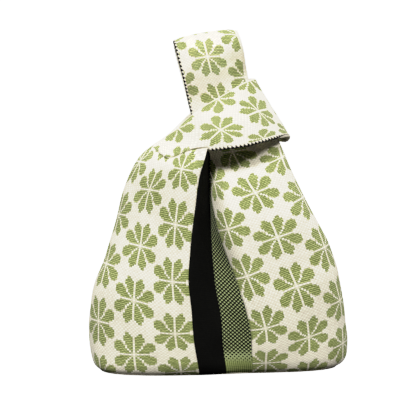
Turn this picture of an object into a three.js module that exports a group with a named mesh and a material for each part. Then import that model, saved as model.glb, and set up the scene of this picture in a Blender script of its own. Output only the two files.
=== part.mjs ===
// Japanese knot bag in double jacquard knit.
// Millimetres, +Z up, front towards -Y, standing on its base panel.
// The front and the back are the same, mirrored in the plane y = 0.
import * as THREE from "three";

// ---- driving dimensions -------------------------------------------------
const KNIT = 2.6;            // thickness of the knitted fabric
const GAP = 0.45;            // clearance left between neighbouring pieces
const SIDE_GAP = 0.9;        // half clearance at the side seams
const STRIPE_GAP = 3.5;      // clearance of the stripes beside the panels at the neckline
const OX = -2.85;            // shift that centres the bag over the origin
const TRIM_R = 1.25;         // radius of the knitted edge cords
const BASE_T = 2.6;          // thickness of the base panel
const BASE_INSET = 2.3;      // base panel edge inside the lower rim
const STRAP_TILT = 14.5;     // degrees the long strap leans to the left
const MOUTH_TILT = 30.15;    // degrees of the short loop's upper edge
const STRAP_ORG = [3.0, 291.95];  // x, z where the strap leaves the loop
const STRAP_HALF = 32.5;     // half width of the long strap
const CORE_HALF = 30;        // half width of the strap inside the loop
const CORE_Y = 4.6;          // outer half depth of the strap inside the loop
const HANDLE_H = 67.3;       // height of the handle above the loop's edge
const HANDLE_TILT = -0.075;  // fall of the handle's top towards the right
const LOOP_FOLD = 4;         // fold of the shoulder where it turns into the loop
const HINGE_H = 6;           // height of the folding line above the loop's edge

// Edges of the knitted pieces by height: z, x, half depth y.
const EDGE_A = [             // left panel, along the black stripe
  [1, -23.8, 49], [5.5, -24.3, 53.5], [14, -25.6, 56.5], [39.4, -29.7, 57.5], [71.7, -33, 57.5],
  [103.5, -34.6, 56], [134.6, -33.5, 53], [160.5, -30.3, 50], [186.4, -26.9, 47.5],
  [209, -22.2, 44], [225.5, -17.8, 41], [239.7, -14.3, 37]];
const EDGE_B = [             // left outline, y is the half opening of the slit
  [1, -127, 0], [6, -133, 0], [15, -136, 0], [30.5, -138.2, 0], [46.9, -138.8, 0], [74, -135, 0],
  [93, -131.3, 0], [122.6, -120.2, 0], [165.5, -107.4, 0], [208.3, -94.6, 0], [218.9, -89.5, 0],
  [228.5, -82.8, 0], [236.9, -73.2, 0], [246, -60, 0], [253, -51, 3], [259.5, -43, 7],
  [273.7, -27.5, 13]];
const EDGE_E = [             // black stripe to check stripe, foot of the pleat
  [1, 5.2, 46], [5.5, 5, 50.5], [14, 4, 53], [38.4, 0.6, 53], [70.1, -2.2, 48], [101.2, -6, 40],
  [132.1, -8.9, 30], [157.6, -9.3, 22], [183.4, -9.3, 15], [205.9, -9, 9], [219.3, -9.1, 7],
  [231.7, -9.8, 5.4]];
const EDGE_C = [             // right panel, along the check stripe, then strap
  [1, 33.2, 43.5], [5.5, 33.3, 48], [14, 32.8, 51.5], [38.5, 30.6, 54.5], [71.1, 24.9, 55.5],
  [97.8, 16.8, 52], [134.7, 3, 44], [160.7, -5, 36], [186.4, -8.3, 25], [208.3, -8.2, 13],
  [221, -8.3, 9], [232.7, -9.2, 6.8], [241, -14, 5.6], [250.4, -19.7, 4.6]];
const EDGE_D = [             // right outline, y is the half opening of the armhole
  [1, 129, 0], [6, 137, 0], [14.8, 140.6, 0], [28, 141.4, 0], [50.1, 138.4, 0], [75.4, 136, 0],
  [100.8, 131.3, 0], [123.2, 123.2, 0], [136, 118, 4], [151.1, 110.4, 8], [175.3, 97.4, 10.5],
  [207.8, 80.8, 11], [239.8, 66, 9], [249, 60, 7.6], [259, 52, 6.2], [272, 41.9, 4.6]];

// Courses of the side panels: inner z, outer z, roundness, roll into the pleat,
// and on the left how far the shoulder swells out or folds in.
const LEFT_ROWS = [
  [1, 1, 3, 0, 0], [5.5, 6, 2.8, 0, 0], [14, 15, 2.5, 0, 0], [38, 42, 2.15, 0, 0],
  [72, 80, 1.95, 0, 0], [108, 120, 1.8, 0, 0], [142, 160, 1.75, 0, 0], [172, 193, 1.7, 0, 2],
  [195, 215, 1.7, 0, 6], [213, 231, 1.65, 0, 9], [223, 242, 1.6, 0, -1.5],
  [232, 257, 1.55, 0, -7], [239.7, 273.7, 1.5, 0, -4]];
const RIGHT_ROWS = [
  [1, 1, 3, 0], [5.5, 6, 2.8, 0], [14, 17, 2.65, 0], [36, 50, 2.5, 1], [72, 98, 2.5, 3],
  [110, 140, 2.4, 8], [147, 184, 2.25, 16], [184, 218, 2, 18], [210, 238, 1.75, 7],
  [229, 249, 1.5, 0], [241, 259, 1.4, 0], [250.4, 272, 1.4, 0]];
const STRIPE_ROWS = [        // z along A, E and C
  [1, 1, 1], [5.5, 5.5, 5.5], [14, 14, 14], [38, 38, 38], [72, 72, 72], [108, 108, 108],
  [142, 142, 142], [172, 172, 172], [195, 195, 195], [212, 211, 211], [225, 221, 222],
  [238.6, 231.7, 232.4]];
const ROLL = 0.17;           // part of the right panel that rolls into the pleat

// Short loop: lower and upper edge from the shoulder to the right fold (x, z, y).
const LOOP_LOW = [
  [-14.3, 239.7, 37], [-6.3, 240, 41.5], [9.1, 241.8, 46], [24.7, 244.3, 46], [43.5, 248.2, 38],
  [58.7, 251, 26.5], [71.5, 251.3, 13], [76.2, 250.2, 0]];
const LOOP_UP = [
  [-27.5, 273.7, 13], [-20, 278.2, 12.2], [-9, 284.6, 11.4], [3, 291.4, 11], [15.5, 298.6, 10.6],
  [27.5, 305, 9.4], [38, 309, 6], [42, 308.6, 0]];

// Handle: side profile from the folding line over the top (share of height, half depth).
const HANDLE_PROFILE = [[0, 3.0], [0.1, 4.4], [0.25, 9], [0.42, 14], [0.58, 16.6],
  [0.74, 16.4], [0.87, 13.2], [0.965, 7], [1, 0]];

// ---- curves -------------------------------------------------------------
function pchip(xs, ys, x) {
  const n = xs.length;
  if (x <= xs[0]) return ys[0];
  if (x >= xs[n - 1]) return ys[n - 1];
  let i = 0;
  while (x > xs[i + 1]) i++;
  const h = [], d = [];
  for (let k = Math.max(0, i - 1); k <= Math.min(n - 2, i + 1); k++) {
    h[k] = xs[k + 1] - xs[k];
    d[k] = (ys[k + 1] - ys[k]) / h[k];
  }
  const slope = (k) => {
    if (k === 0) return d[0];
    if (k === n - 1) return d[n - 2];
    if (d[k - 1] * d[k] <= 0) return 0;
    const w1 = 2 * h[k] + h[k - 1], w2 = h[k] + 2 * h[k - 1];
    return (w1 + w2) / (w1 / d[k - 1] + w2 / d[k]);
  };
  const t = (x - xs[i]) / h[i], t2 = t * t, t3 = t2 * t;
  return (2 * t3 - 3 * t2 + 1) * ys[i] + (t3 - 2 * t2 + t) * h[i] * slope(i)
    + (3 * t2 - 2 * t3) * ys[i + 1] + (t3 - t2) * h[i] * slope(i + 1);
}
const col = (table, k) => table.map((r) => r[k]);
const edge = (table, z) => [pchip(col(table, 0), col(table, 1), z),
  pchip(col(table, 0), col(table, 2), z), z];            // x, half depth, z
const rowAt = (table, i) => {
  const idx = table.map((_, k) => k);
  return table[0].map((_, k) => pchip(idx, col(table, k), i));
};
function catmull(points, u) {
  const n = points.length - 1;
  const i = Math.min(Math.floor(u), n - 1), t = u - i;
  const p = (k) => points[Math.max(0, Math.min(n, k))];
  return p(0).map((_, c) => {
    const a = p(i - 1)[c], b = p(i)[c], e = p(i + 1)[c], f = p(i + 2)[c];
    return 0.5 * (2 * b + (e - a) * t + (2 * a - 5 * b + 4 * e - f) * t * t
      + (3 * b - a - 3 * e + f) * t * t * t);
  });
}
const lerp = (a, b, t) => a + (b - a) * t;
const V = (x, y, z) => new THREE.Vector3(x, y, z);

function resample(points, count, from = 0, to = 0) {
  const len = [0];
  for (let i = 1; i < points.length; i++) len.push(len[i - 1] + points[i].distanceTo(points[i - 1]));
  const total = len[len.length - 1], out = [];
  for (let k = 0; k < count; k++) {
    const s = lerp(from, total - to, k / (count - 1));
    let i = 0;
    while (i < points.length - 2 && len[i + 1] < s) i++;
    out.push(points[i].clone().lerp(points[i + 1], (s - len[i]) / (len[i + 1] - len[i])));
  }
  return out;
}

// Front half of one course of a side panel, from its inner edge to its outline.
function course(inner, outer, n, dip, swell = 0) {
  const [xi, yi, zi] = inner, [xo, yo, zo] = outer, pts = [];
  const front = yi + dip;
  for (let k = 0; k <= 160; k++) {
    const a = (k / 160) * Math.PI / 2;
    const f = Math.pow(Math.sin(a), 2 / n), h = Math.pow(Math.max(0, Math.cos(a)), 2 / n);
    let y = yo + (front - yo) * (k === 160 ? 0 : h) + swell * Math.sin(Math.PI * f);
    if (f < ROLL) y -= dip * (1 - f / ROLL) ** 2;
    pts.push(V(lerp(xi, xo, f), -y, lerp(zi, zo, f)));
  }
  return pts;
}

// ---- solids -------------------------------------------------------------
// A fabric sheet: quads given outward, thickened inward, closed round its rim.
function sheet(quads, thick = KNIT) {
  const key = (p) => `${p.x.toFixed(3)},${p.y.toFixed(3)},${p.z.toFixed(3)}`;
  const index = new Map(), pts = [], faces = [];
  const id = (p) => {
    const k = key(p);
    if (!index.has(k)) { index.set(k, pts.length); pts.push(p.clone()); }
    return index.get(k);
  };
  for (const q of quads) {
    const ids = q.map(id), f = ids.filter((v, i) => v !== ids[(i + 1) % ids.length]);
    if (f.length >= 3) faces.push(f);
  }
  const nrm = pts.map(() => V(0, 0, 0));
  for (const f of faces) {
    const a = pts[f[0]], n = V(0, 0, 0);
    for (let i = 1; i < f.length - 1; i++)
      n.add(pts[f[i]].clone().sub(a).cross(pts[f[i + 1]].clone().sub(a)));
    f.forEach((v) => nrm[v].add(n));
  }
  const N = pts.length, pos = [];
  pts.forEach((p) => pos.push(p.x, p.y, p.z));
  pts.forEach((p, i) => {
    const q = p.clone().addScaledVector(nrm[i].normalize(), -thick);
    pos.push(q.x, q.y, q.z);
  });
  const tri = [], edges = new Map();
  for (const f of faces) {
    for (let i = 1; i < f.length - 1; i++) {
      tri.push(f[0], f[i], f[i + 1]);
      tri.push(f[0] + N, f[i + 1] + N, f[i] + N);
    }
    f.forEach((v, i) => {
      const w = f[(i + 1) % f.length], back = `${w}_${v}`;
      if (edges.has(back)) edges.delete(back); else edges.set(`${v}_${w}`, [v, w]);
    });
  }
  for (const [v, w] of edges.values()) tri.push(w, v, v + N, w, v + N, w + N);
  const g = new THREE.BufferGeometry();
  g.setAttribute("position", new THREE.Float32BufferAttribute(pos, 3));
  g.setIndex(tri);
  return g;
}
function gridQuads(grid, flip = false) {
  const out = [];
  for (let r = 0; r + 1 < grid.length; r++)
    for (let c = 0; c + 1 < grid[r].length; c++) {
      const q = [grid[r][c], grid[r][c + 1], grid[r + 1][c + 1], grid[r + 1][c]];
      out.push(flip ? q.reverse() : q);
    }
  return out;
}
const mirror = (p) => V(p.x, -p.y, p.z);
const mirrorQuads = (quads) => quads.map((q) => q.map(mirror).reverse());

// A round cord along a line of points, closed at both ends.
function cord(line, radius, sides = 6) {
  const pos = [], tri = [], n = line.length;
  let side = null;
  for (let i = 0; i < n; i++) {
    const t = line[Math.min(n - 1, i + 1)].clone().sub(line[Math.max(0, i - 1)]).normalize();
    if (!side) side = Math.abs(t.y) < 0.8 ? V(0, 1, 0) : V(0, 0, 1);
    side = side.clone().addScaledVector(t, -side.dot(t)).normalize();
    const up = t.clone().cross(side);
    for (let k = 0; k < sides; k++) {
      const a = (k / sides) * 2 * Math.PI;
      const p = line[i].clone().addScaledVector(side, radius * Math.cos(a)).addScaledVector(up, radius * Math.sin(a));
      pos.push(p.x, p.y, p.z);
    }
  }
  for (let i = 0; i + 1 < n; i++)
    for (let k = 0; k < sides; k++) {
      const a = i * sides + k, b = i * sides + (k + 1) % sides;
      tri.push(a, b, b + sides, a, b + sides, a + sides);
    }
  for (let k = 1; k + 1 < sides; k++) {
    tri.push(0, k + 1, k);
    const o = (n - 1) * sides;
    tri.push(o, o + k, o + k + 1);
  }
  const g = new THREE.BufferGeometry();
  g.setAttribute("position", new THREE.Float32BufferAttribute(pos, 3));
  g.setIndex(tri);
  return g;
}
// Line just outside a sheet's edge: edge points, the points next to them inside
// the sheet, and the way out of the sheet's face.
function outside(line, inside, faceOut, off = TRIM_R + 0.45) {
  return line.map((p, i) => {
    const t = line[Math.min(line.length - 1, i + 1)].clone().sub(line[Math.max(0, i - 1)]).normalize();
    const o = p.clone().sub(inside[i]);
    o.addScaledVector(t, -o.dot(t)).normalize();
    const n = t.clone().cross(o).normalize();
    if (n.dot(faceOut(p)) < 0) n.negate();
    return p.clone().addScaledVector(o, off).addScaledVector(n, -KNIT / 2);
  });
}

// ---- side panels --------------------------------------------------------
// Front half of a side panel; below the slit it ends at the side seam.
function panel(rows, inner, outer, steps, cols) {
  const grid = [];
  for (const i of steps) {
    const [zi, zo, n, dip, swell] = rowAt(rows, i);
    const rim = edge(outer, zo), open = Math.max(0, SIDE_GAP - rim[1]);
    grid.push(resample(course(edge(inner, zi), rim, n, dip, swell), cols, GAP, open));
  }
  return grid;
}
const leftSteps = [0, 0.5, 1, 1.5, 2, 3, 4, 5, 6, 7, 8, 8.6, 9.2, 9.8, 10.25, 10.8, 11.4, 12];
const leftGrid = panel(LEFT_ROWS, EDGE_A, EDGE_B, leftSteps, 13);
const leftFront = gridQuads(leftGrid, true);

const rightSteps = [0, 0.5, 1, 1.5, 2, 3, 4, 4.55, 5, 5.5, 6, 6.5, 7, 7.5, 8, 8.5, 9, 9.5, 10, 10.5, 11];
const rightGrid = panel(RIGHT_ROWS, EDGE_C, EDGE_D, rightSteps, 13);
const rightFront = gridQuads(rightGrid);

// ---- stripes ------------------------------------------------------------
function bezier(a, q, b, count, from, to) {
  const pts = [];
  for (let k = 0; k <= 40; k++) {
    const t = k / 40;
    pts.push(a.clone().multiplyScalar((1 - t) ** 2).addScaledVector(q, 2 * t * (1 - t)).addScaledVector(b, t * t));
  }
  return resample(pts, count, from, to);
}
const blackGrid = [], checkGrid = [];
for (let i = 0; i <= 11; i += (i < 2 || i > 7 ? 0.5 : 1)) {
  const [za, ze, zc] = rowAt(STRIPE_ROWS, i);
  const at = (t, z) => { const [x, y] = edge(t, z); return V(x, -y, z); };
  const A = at(EDGE_A, za), E = at(EDGE_E, ze), C = at(EDGE_C, zc);
  const right = RIGHT_ROWS.map((r) => r[0]);
  const dip = pchip(right, col(RIGHT_ROWS, 3), zc);
  const [xd] = edge(EDGE_D, pchip(right, col(RIGHT_ROWS, 1), zc));
  const tan = V(1, -2 * dip / (ROLL * (xd - C.x)), 0).normalize();
  const qa = V(lerp(A.x, E.x, 0.45), A.y, lerp(za, ze, 0.45));
  const reach = Math.min(0.45 * E.distanceTo(C), Math.max(1, (C.x - E.x + 1) / tan.x));
  const qc = C.clone().addScaledVector(tan, -reach);
  qc.z = lerp(zc, ze, 0.4);
  const clear = lerp(GAP + 0.35, STRIPE_GAP, THREE.MathUtils.smoothstep(zc, 110, 215));
  const foot = lerp(0.8, 4, THREE.MathUtils.smoothstep(zc, 185, 228));
  blackGrid.push(bezier(A, qa, E, 6, clear, foot));
  checkGrid.push(bezier(E, qc, C, 6, 0.8, clear));
}
const blackFront = gridQuads(blackGrid), checkFront = gridQuads(checkGrid);

// ---- base ---------------------------------------------------------------
// Outline of the lower rim, counter-clockwise from above, inset by some millimetres.
function rim(inset) {
  const front = [];
  const [, , n] = LEFT_ROWS[0];
  const [xa, ya] = edge(EDGE_A, 1), [xb] = edge(EDGE_B, 1), [xc, yc] = edge(EDGE_C, 1), [xd] = edge(EDGE_D, 1);
  front.push(...resample(course([xa, ya - inset, 1], [xb + inset, 0, 1], n, 0), 15).reverse());
  front.push(...resample(course([xc, yc - inset, 1], [xd - inset, 0, 1], n, 0), 15));
  const flat = front.map((p) => new THREE.Vector2(p.x, p.y));
  const back = flat.slice(1, -1).reverse().map((p) => new THREE.Vector2(p.x, -p.y));
  return [...flat, ...back];
}
function slab(shape, z, t) {
  const g = new THREE.ExtrudeGeometry(shape, { depth: t, bevelEnabled: false });
  g.translate(0, 0, z);
  return g;
}
const basePanel = slab(new THREE.Shape(rim(BASE_INSET)), 0, BASE_T);
const seamShape = new THREE.Shape(rim(0.6));
seamShape.holes.push(new THREE.Path(rim(1.7)));
const baseSeam = slab(seamShape, 0.05, 0.85);

// ---- short loop ---------------------------------------------------------
const around = (pts) => [...pts.map(([x, z, y]) => [x, -y, z]),
  ...pts.slice(0, -1).reverse().map(([x, z, y]) => [x, y, z])];
const low = around(LOOP_LOW), upr = around(LOOP_UP), loopEnd = low.length - 1;
const LOOP_Q = [0, 0.14, 0.3, 0.5, 0.7, 0.86, 1];
function loopGrid() {
  const us = [0.24, 0.6, 1, 1.5, 2, 2.6, 3.2, 3.8, 4.4, 5, 5.5, 6, 6.35, 6.7, 7];
  const all = [...us, ...us.slice(0, -1).reverse().map((u) => loopEnd - u)];
  return LOOP_Q.map((q) => all.map((u) => {
    const a = catmull(low, u), b = catmull(upr, u);
    const p = Math.min(u, loopEnd - u) / 7;
    const s = Math.min(1, p / 0.4), n = lerp(1.5, 1.2, s * s * (3 - 2 * s));
    const h = q >= 1 ? 0 : Math.pow(1 - Math.pow(q, n), 1 / n);
    const fold = LOOP_FOLD * Math.sin(Math.PI * q) * (1 - THREE.MathUtils.smoothstep(p * 7, 0, 1.6));
    const side = Math.sign(u - 7);
    return V(lerp(a[0], b[0], q), lerp(b[1], a[1], h) - side * fold, lerp(a[2], b[2], q));
  }));
}
const loop = loopGrid();
const shortLoop = sheet(gridQuads(loop));
const awayFromAxis = (p) => V(0, p.y === 0 ? 1e-6 : p.y, 0);
const loopFace = (p) => V(Math.max(0, p.x - 40) * 0.2, p.y, 0);
const loopLowEdge = cord(outside(loop[0], loop[1], loopFace), TRIM_R);
const loopUpEdge = cord(outside(loop[loop.length - 1], loop[loop.length - 2], loopFace), TRIM_R);

// ---- long strap ---------------------------------------------------------
const rad = Math.PI / 180;
const st = Math.sin(STRAP_TILT * rad), ct = Math.cos(STRAP_TILT * rad);
const slope = Math.tan((MOUTH_TILT - STRAP_TILT) * rad);
const strapAt = (w, h, y) => V(STRAP_ORG[0] + w * ct - h * st, y, STRAP_ORG[1] + w * st + h * ct);

const coreGrid = [0, 0.34, 0.67, 1].map((t) => [-1, -0.5, 0, 0.5, 1].map((s) => {
  const w = s * CORE_HALF;
  return strapAt(w, lerp(-31 + 0.084 * w, HINGE_H - 4 + slope * w, t), -CORE_Y);
}));
const coreFront = gridQuads(coreGrid);

const handleCurve = [...HANDLE_PROFILE.map(([q, y]) => [q, -y]),
  ...HANDLE_PROFILE.slice(0, -1).reverse().map(([q, y]) => [q, y])];
const handleSide = resample(Array.from({ length: 241 }, (_, k) => {
  const [q, y] = catmull(handleCurve, (k / 240) * (handleCurve.length - 1));
  return V(q * HANDLE_H, y, 0);
}), 33).map((p) => [p.x / HANDLE_H, p.y]);
const handleGrid = handleSide.map(([q, y]) => [-1, -0.6, -0.2, 0.2, 0.6, 1].map((s) => {
  const w = s * STRAP_HALF, foot = HINGE_H + 2 + slope * w;
  return strapAt(w, lerp(foot, HANDLE_H + HANDLE_TILT * w, q), y);
}));
const handleStrap = sheet(gridQuads(handleGrid));
const handleFace = (p) => {
  const h = -(p.x - STRAP_ORG[0]) * st + (p.z - STRAP_ORG[1]) * ct;
  return V(-st, 0, ct).multiplyScalar(Math.max(0, h - 52)).add(V(0, p.y, 0));
};
const column = (grid, c) => grid.map((r) => r[c]);
const handleLeft = cord(outside(column(handleGrid, 0), column(handleGrid, 1), handleFace), TRIM_R);
const handleRight = cord(outside(column(handleGrid, 5), column(handleGrid, 4), handleFace), TRIM_R);

// ---- armhole edges ------------------------------------------------------
const slitRows = rightGrid.filter((g, i) => rightSteps[i] >= 5.4);
const last = slitRows[0].length - 1;
const armFront = outside(column(slitRows, last), column(slitRows, last - 1), (p) => V(1, 0, 0.3));
const armholeFront = cord(armFront, TRIM_R);
const armholeBack = cord(armFront.map(mirror), TRIM_R);

// ---- assembly -----------------------------------------------------------
const YARN = {
  jacquard: { color: 0xe9e4d2, roughness: 0.9, metalness: 0 },
  black: { color: 0x161615, roughness: 0.92, metalness: 0 },
  check: { color: 0x6f7650, roughness: 0.92, metalness: 0 },
  edging: { color: 0x4b4a40, roughness: 0.92, metalness: 0 },
};
const bag = new THREE.Group();
bag.name = "knot_bag";
function add(name, geometry, yarn) {
  const g = geometry.clone();
  g.translate(OX, 0, 0);
  g.computeVertexNormals();
  const mesh = new THREE.Mesh(g, new THREE.MeshStandardMaterial(YARN[yarn]));
  mesh.name = name;
  bag.add(mesh);
}
add("left_front_panel", sheet(leftFront), "jacquard");
add("left_back_panel", sheet(mirrorQuads(leftFront)), "jacquard");
add("right_front_panel", sheet(rightFront), "jacquard");
add("right_back_panel", sheet(mirrorQuads(rightFront)), "jacquard");
add("front_black_stripe", sheet(blackFront), "black");
add("front_check_stripe", sheet(checkFront), "check");
add("back_black_stripe", sheet(mirrorQuads(blackFront)), "black");
add("back_check_stripe", sheet(mirrorQuads(checkFront)), "check");
add("base_panel", basePanel, "jacquard");
add("base_seam", baseSeam, "edging");
add("short_loop", shortLoop, "jacquard");
add("short_loop_lower_edge", loopLowEdge, "edging");
add("short_loop_upper_edge", loopUpEdge, "edging");
add("armhole_edge_front", armholeFront, "edging");
add("armhole_edge_back", armholeBack, "edging");
add("strap_front_leg", sheet(coreFront), "jacquard");
add("strap_back_leg", sheet(mirrorQuads(coreFront)), "jacquard");
add("handle_strap", handleStrap, "jacquard");
add("handle_left_edge", handleLeft, "edging");
add("handle_right_edge", handleRight, "edging");

export default bag;
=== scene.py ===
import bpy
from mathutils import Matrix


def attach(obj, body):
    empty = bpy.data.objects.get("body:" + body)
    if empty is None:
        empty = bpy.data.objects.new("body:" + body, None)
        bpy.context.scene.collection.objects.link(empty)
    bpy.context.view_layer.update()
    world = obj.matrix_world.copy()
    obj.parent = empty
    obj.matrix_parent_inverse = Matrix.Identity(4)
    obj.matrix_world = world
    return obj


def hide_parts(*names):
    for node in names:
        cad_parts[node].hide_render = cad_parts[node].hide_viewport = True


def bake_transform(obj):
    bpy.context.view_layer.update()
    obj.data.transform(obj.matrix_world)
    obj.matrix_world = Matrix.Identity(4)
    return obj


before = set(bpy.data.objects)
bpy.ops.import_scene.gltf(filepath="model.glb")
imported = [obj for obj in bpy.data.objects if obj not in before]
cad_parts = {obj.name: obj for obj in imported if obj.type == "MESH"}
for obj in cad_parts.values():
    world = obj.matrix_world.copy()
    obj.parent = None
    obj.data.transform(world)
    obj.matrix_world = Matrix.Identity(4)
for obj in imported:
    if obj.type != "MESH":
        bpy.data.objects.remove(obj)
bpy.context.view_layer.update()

import math
import bpy
import numpy as np
from mathutils import Vector

# ---------------------------------------------------------------------------
# Shape of the bag, in millimetres, in the frame of the CAD model.
# ---------------------------------------------------------------------------
OX = -2.85
KNIT = 2.3
EDGE_A = [
  [1, -23.8, 49], [5.5, -24.3, 53.5], [14, -25.6, 56.5], [39.4, -29.7, 57.5], [71.7, -33, 57.5],
  [103.5, -34.6, 56], [134.6, -33.5, 53], [160.5, -30.3, 50], [186.4, -26.9, 47.5],
  [209, -22.2, 44], [225.5, -17.8, 41], [239.7, -14.3, 37]]
EDGE_B = [
  [1, -127, 0], [6, -133, 0], [15, -136, 0], [30.5, -138.2, 0], [46.9, -138.8, 0], [74, -135, 0],
  [93, -131.3, 0], [122.6, -120.2, 0], [165.5, -107.4, 0], [208.3, -94.6, 0], [218.9, -89.5, 0],
  [228.5, -82.8, 0], [236.9, -73.2, 0], [246, -60, 0], [253, -51, 3], [259.5, -43, 7],
  [273.7, -27.5, 13]]
EDGE_E = [
  [1, 5.2, 46], [5.5, 5, 50.5], [14, 4, 53], [38.4, 0.6, 53], [70.1, -2.2, 48], [101.2, -6, 40],
  [132.1, -8.9, 30], [157.6, -9.3, 22], [183.4, -9.3, 15], [205.9, -9, 9], [219.3, -9.1, 7],
  [231.7, -9.8, 5.4]]
EDGE_C = [
  [1, 33.2, 43.5], [5.5, 33.3, 48], [14, 32.8, 51.5], [38.5, 30.6, 54.5], [71.1, 24.9, 55.5],
  [97.8, 16.8, 52], [134.7, 3, 44], [160.7, -5, 36], [186.4, -8.3, 25], [208.3, -8.2, 13],
  [221, -8.3, 9], [232.7, -9.2, 6.8], [241, -14, 5.6], [250.4, -19.7, 4.6]]
EDGE_D = [
  [1, 129, 0], [6, 137, 0], [14.8, 140.6, 0], [28, 141.4, 0], [50.1, 138.4, 0], [75.4, 136, 0],
  [100.8, 131.3, 0], [123.2, 123.2, 0], [136, 118, 4], [151.1, 110.4, 8], [175.3, 97.4, 10.5],
  [207.8, 80.8, 11], [239.8, 66, 9], [249, 60, 7.6], [259, 52, 6.2], [272, 41.9, 4.6]]
LEFT_ROWS = [
  [1, 1, 3, 0, 0], [5.5, 6, 2.8, 0, 0], [14, 15, 2.5, 0, 0], [38, 42, 2.15, 0, 0],
  [72, 80, 1.95, 0, 0], [108, 120, 1.8, 0, 0], [142, 160, 1.75, 0, 0], [172, 193, 1.7, 0, 2],
  [195, 215, 1.7, 0, 6], [213, 231, 1.65, 0, 9], [223, 242, 1.6, 0, -1.5],
  [232, 257, 1.55, 0, -7], [239.7, 273.7, 1.5, 0, -4]]
RIGHT_ROWS = [
  [1, 1, 3, 0], [5.5, 6, 2.8, 0], [14, 17, 2.65, 0], [36, 50, 2.5, 1], [72, 98, 2.5, 3],
  [110, 140, 2.4, 8], [147, 184, 2.25, 16], [184, 218, 2, 18], [210, 238, 1.75, 7],
  [229, 249, 1.5, 0], [241, 259, 1.4, 0], [250.4, 272, 1.4, 0]]
STRIPE_ROWS = [[1, 1, 1], [5.5, 5.5, 5.5], [14, 14, 14], [38, 38, 38], [72, 72, 72], [108, 108, 108],
               [142, 142, 142], [172, 172, 172], [195, 195, 195], [212, 211, 211], [225, 221, 222],
               [238.6, 231.7, 232.4]]
ROLL = 0.17
LOOP_LOW = [
  [-14.3, 239.7, 37], [-6.3, 240, 41.5], [9.1, 241.8, 46], [24.7, 244.3, 46], [43.5, 248.2, 38],
  [58.7, 251, 26.5], [71.5, 251.3, 13], [76.2, 250.2, 0]]
LOOP_UP = [
  [-27.5, 273.7, 13], [-20, 278.2, 12.2], [-9, 284.6, 11.4], [3, 291.4, 11], [15.5, 298.6, 10.6],
  [27.5, 305, 9.4], [38, 309, 6], [42, 308.6, 0]]
HANDLE_PROFILE = [[0, 3.0], [0.1, 4.4], [0.25, 9], [0.42, 14], [0.58, 16.6],
                  [0.74, 16.4], [0.87, 13.2], [0.965, 7], [1, 0]]
STRAP_ORG, STRAP_TILT, MOUTH_TILT = (3.0, 291.95), 14.5, 30.15
STRAP_HALF, HANDLE_H, HANDLE_TILT, HINGE_H = 32.5, 67.3, -0.075, 6.0
ST, CT = math.sin(math.radians(STRAP_TILT)), math.cos(math.radians(STRAP_TILT))
SLOPE = math.tan(math.radians(MOUTH_TILT - STRAP_TILT))


class Pchip:
    """Monotone cubic through a table."""

    def __init__(self, xs, ys):
        x, y = np.asarray(xs, float), np.asarray(ys, float)
        h = np.diff(x)
        d = np.diff(y) / h
        m = np.zeros(len(x))
        m[0], m[-1] = d[0], d[-1]
        for k in range(1, len(x) - 1):
            if d[k - 1] * d[k] > 0:
                w1, w2 = 2 * h[k] + h[k - 1], h[k] + 2 * h[k - 1]
                m[k] = (w1 + w2) / (w1 / d[k - 1] + w2 / d[k])
        self.x, self.y, self.h, self.m = x, y, h, m

    def __call__(self, q):
        q = np.clip(np.asarray(q, float), self.x[0], self.x[-1])
        i = np.clip(np.searchsorted(self.x, q, side="right") - 1, 0, len(self.x) - 2)
        t = (q - self.x[i]) / self.h[i]
        t2, t3 = t * t, t * t * t
        return ((2 * t3 - 3 * t2 + 1) * self.y[i] + (t3 - 2 * t2 + t) * self.h[i] * self.m[i]
                + (3 * t2 - 2 * t3) * self.y[i + 1] + (t3 - t2) * self.h[i] * self.m[i + 1])


def edge_curves(rows):
    a = np.array(rows, float)
    return Pchip(a[:, 0], a[:, 1]), Pchip(a[:, 0], a[:, 2])


def row_curves(rows):
    a = np.array(rows, float)
    return [Pchip(np.arange(len(a)), a[:, k]) for k in range(a.shape[1])]


fA, fB, fE, fC, fD = (edge_curves(t) for t in (EDGE_A, EDGE_B, EDGE_E, EDGE_C, EDGE_D))
rL, rR, rS = row_curves(LEFT_ROWS), row_curves(RIGHT_ROWS), row_curves(STRIPE_ROWS)


def smooth(t):
    t = np.clip(t, 0, 1)
    return t * t * (3 - 2 * t)


def arc(P):
    return np.concatenate([[0], np.cumsum(np.linalg.norm(np.diff(P, axis=0), axis=1))])


def resample(P, count):
    L = arc(P)
    s = np.linspace(0, L[-1], count)
    return np.stack([np.interp(s, L, P[:, k]) for k in range(P.shape[1])], 1)


def course(pi, po, n, dip, cols, swell=0.0):
    a = np.linspace(0, math.pi / 2, 241)
    f = np.sin(a) ** (2 / n)
    h = np.clip(np.cos(a), 0, 1) ** (2 / n)
    h[-1] = 0
    xi, yi, zi = pi
    xo, yo, zo = po
    y = yo + (yi + dip - yo) * h + swell * np.sin(math.pi * f)
    y = y - np.where(f < ROLL, dip * (1 - f / ROLL) ** 2, 0)
    return resample(np.stack([xi + (xo - xi) * f, -y, zi + (zo - zi) * f], 1), cols)


def panel_row(rows, inner, outer, i, cols):
    zi, zo, n, dip, *swell = (float(f(i)) for f in rows)
    return course((float(inner[0](zi)), float(inner[1](zi)), zi),
                  (float(outer[0](zo)), float(outer[1](zo)), zo), n, dip, cols, *swell)


def catmull(pts, u):
    pts = np.asarray(pts, float)
    n = len(pts) - 1
    i = int(min(math.floor(u), n - 1))
    t = u - i
    g = lambda k: pts[max(0, min(n, k))]
    a, b, e, f = g(i - 1), g(i), g(i + 1), g(i + 2)
    return 0.5 * (2 * b + (e - a) * t + (2 * a - 5 * b + 4 * e - f) * t * t
                  + (3 * b - a - 3 * e + f) * t ** 3)


def around(p):
    return [[x, -y, z] for x, z, y in p] + [[x, y, z] for x, z, y in p[:-1][::-1]]


LOW, UP = around(LOOP_LOW), around(LOOP_UP)


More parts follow.
